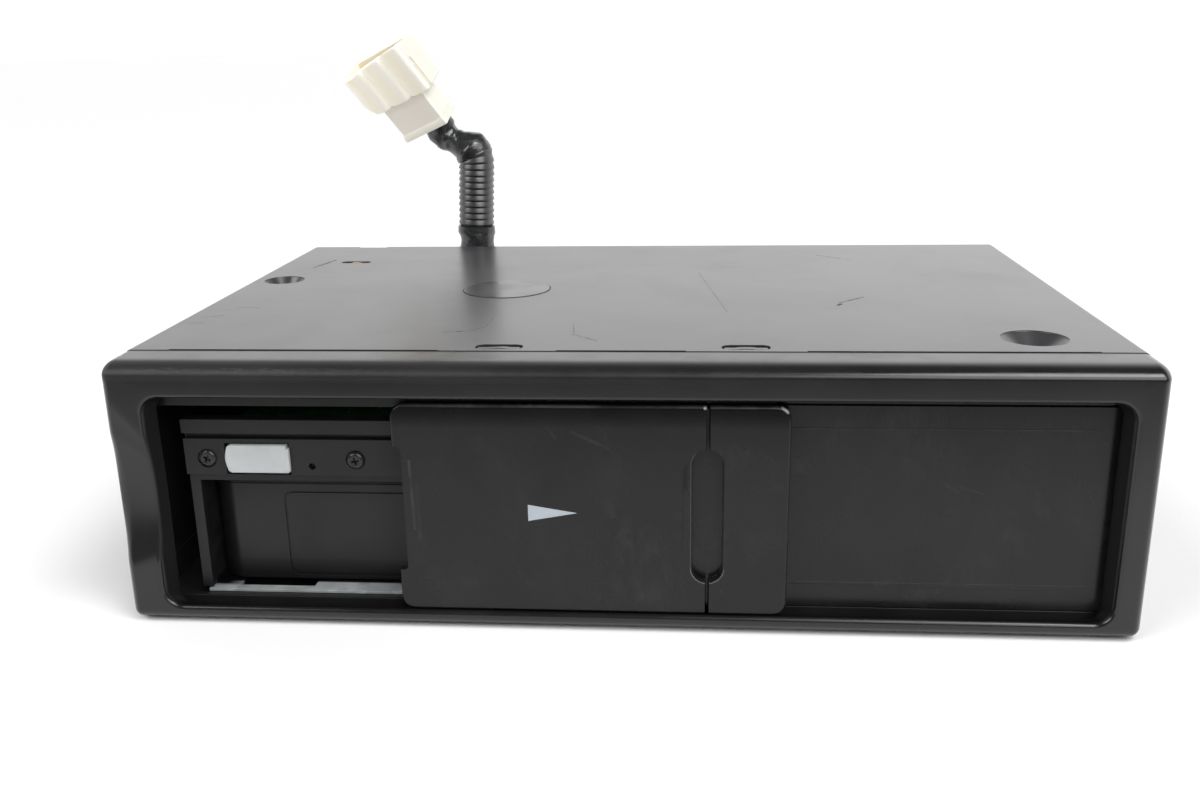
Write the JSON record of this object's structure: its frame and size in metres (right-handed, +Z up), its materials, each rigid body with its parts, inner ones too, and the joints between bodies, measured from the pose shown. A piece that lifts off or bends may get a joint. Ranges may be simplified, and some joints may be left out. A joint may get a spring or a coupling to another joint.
{
  "type": "car disc changer",
  "caption": "Flat in-car disc changer with a sliding door in front of its magazine bay, disc trays and a playing unit inside, and a ribbed wiring loom at the back.",
  "frame": {"origin": "middle of the case's outline, on the surface it lies on", "axes": "+X to the right along the front, -Y out of the front face, +Z up"},
  "size_m": [0.262, 0.2043, 0.1508],
  "materials": {
    "black_moulding": "fine satin grain, black",
    "black_door": "smooth satin black",
    "black_frame": "matt black moulding",
    "black_paint": "black satin paint on sheet steel",
    "black_label": "thin satin film",
    "white_button": "translucent white moulding",
    "zinc_sheet": "bright zinc-plated sheet",
    "steel": "plain plated steel",
    "black_screw": "black chromate",
    "brass": "plain",
    "magazine_plastic": "matt black moulding",
    "tray_plastic": "dark grey moulding",
    "disc_surface": "mirror-backed clear disc",
    "board_green": "solder mask over glass laminate",
    "chip_black": "moulded",
    "pickup_plastic": "black moulded sled",
    "white_acetal": "natural acetal",
    "rubber": "soft black",
    "cloth_tape": "black harness tape over wires",
    "loom_black": "slightly shiny corrugated loom",
    "connector_ivory": "ivory nylon"
  },
  "bodies": {
    "case": {"bezel": "black_moulding", "top_cover": "black_paint", "bottom_plate": "black_paint", "rear_panel": "black_paint", "door_track_top": "black_frame", "door_track_bottom": "black_frame", "fixed_panel": "black_door", "bay_frame": "black_frame", "button_plate": "black_frame", "plate_screw_left": "black_screw", "plate_screw_right": "black_screw", "round_label": "black_label", "view_screw": "brass", "magazine_cage": "zinc_sheet", "damper_1": "rubber", "damper_2": "rubber", "damper_3": "rubber", "damper_4": "rubber", "main_board": "board_green", "control_chip": "chip_black", "power_capacitor": "chip_black", "board_socket": "white_acetal", "lift_post_front": "steel", "lift_post_rear": "steel", "lift_post_arm": "steel", "harness_grommet": "rubber", "harness_wires": "cloth_tape", "harness_sleeve": "cloth_tape", "harness_loom": "loom_black", "connector_holder": "connector_ivory", "connector_shell": "connector_ivory"},
    "door_inner": {"door_inner": "black_door"},
    "door_outer": {"door_outer": "black_door"},
    "eject_button": {"eject_button": "white_button"},
    "magazine": {"magazine": "magazine_plastic"},
    "tray_1": {"tray_1": "tray_plastic", "disc_1": "disc_surface"},
    "tray_2": {"tray_2": "tray_plastic", "disc_2": "disc_surface"},
    "tray_3": {"tray_3": "tray_plastic", "disc_3": "disc_surface"},
    "tray_4": {"tray_4": "tray_plastic", "disc_4": "disc_surface"},
    "tray_5": {"tray_5": "tray_plastic", "disc_5": "disc_surface"},
    "tray_6": {"tray_6": "tray_plastic", "disc_6": "disc_surface"},
    "lift": {"lift_plate": "steel", "spindle_motor": "steel", "guide_rod_front": "steel", "guide_rod_rear": "steel", "feed_motor": "steel"},
    "turntable": {"turntable": "white_acetal"},
    "pickup": {"optical_pickup": "pickup_plastic"},
    "feed_screw": {"feed_screw": "steel"},
    "clamp": {"clamp_arm": "steel"},
    "puck": {"clamp_puck": "white_acetal"},
    "cam": {"lift_cam": "steel"}
  },
  "joints": [
    {"name": "door_inner_slide", "type": "slide", "parent": "case", "child": "door_inner", "axis": [1, 0, 0], "range_m": [0, 0.0781]},
    {"name": "door_outer_slide", "type": "slide", "parent": "door_inner", "child": "door_outer", "axis": [1, 0, 0], "range_m": [-0.0605, 0]},
    {"name": "eject_press", "type": "slide", "parent": "case", "child": "eject_button", "axis": [0, 1, 0], "range_m": [0, 0.0025], "stiffness_N_per_m": 400},
    {"name": "magazine_slide", "type": "slide", "parent": "case", "child": "magazine", "axis": [0, -1, 0], "range_m": [0, 0.0087]},
    {"name": "tray_1_slide", "type": "slide", "parent": "magazine", "child": "tray_1", "axis": [1, 0, 0], "range_m": [0, 0.0961]},
    {"name": "tray_2_slide", "type": "slide", "parent": "magazine", "child": "tray_2", "axis": [1, 0, 0], "range_m": [0, 0.0961]},
    {"name": "tray_3_slide", "type": "slide", "parent": "magazine", "child": "tray_3", "axis": [1, 0, 0], "range_m": [0, 0.0961]},
    {"name": "tray_4_slide", "type": "slide", "parent": "magazine", "child": "tray_4", "axis": [1, 0, 0], "range_m": [0, 0.0961]},
    {"name": "tray_5_slide", "type": "slide", "parent": "magazine", "child": "tray_5", "axis": [1, 0, 0], "range_m": [0, 0.0961]},
    {"name": "tray_6_slide", "type": "slide", "parent": "magazine", "child": "tray_6", "axis": [1, 0, 0], "range_m": [0, 0.0961]},
    {"name": "lift_slide", "type": "slide", "parent": "case", "child": "lift", "axis": [0, 0, 1], "range_m": [-0.026, 0]},
    {"name": "cam_slide", "type": "slide", "parent": "case", "child": "cam", "axis": [0, 1, 0], "range_m": [0, 0.039]},
    {"name": "turntable_spin", "type": "hinge", "parent": "lift", "child": "turntable", "pos_m": [0.0507, 0.0014, 0.04], "axis": [0, 0, 1], "continuous": true},
    {"name": "pickup_slide", "type": "slide", "parent": "lift", "child": "pickup", "axis": [1, 0, 0], "range_m": [0, 0.033]},
    {"name": "feed_screw_spin", "type": "hinge", "parent": "lift", "child": "feed_screw", "pos_m": [0.094, 0.0234, 0.0454], "axis": [1, 0, 0], "continuous": true},
    {"name": "clamp_slide", "type": "slide", "parent": "case", "child": "clamp", "axis": [0, 0, -1], "range_m": [-0.0035, 0]},
    {"name": "puck_spin", "type": "hinge", "parent": "clamp", "child": "puck", "pos_m": [0.0507, 0.0014, 0.005], "axis": [0, 0, 1], "continuous": true}
  ],
  "couplings": [
    {"joint": "cam_slide", "follows": "lift_slide", "ratio": -1.5},
    {"joint": "feed_screw_spin", "follows": "pickup_slide", "rad_per_m": 2094.4}
  ]
}
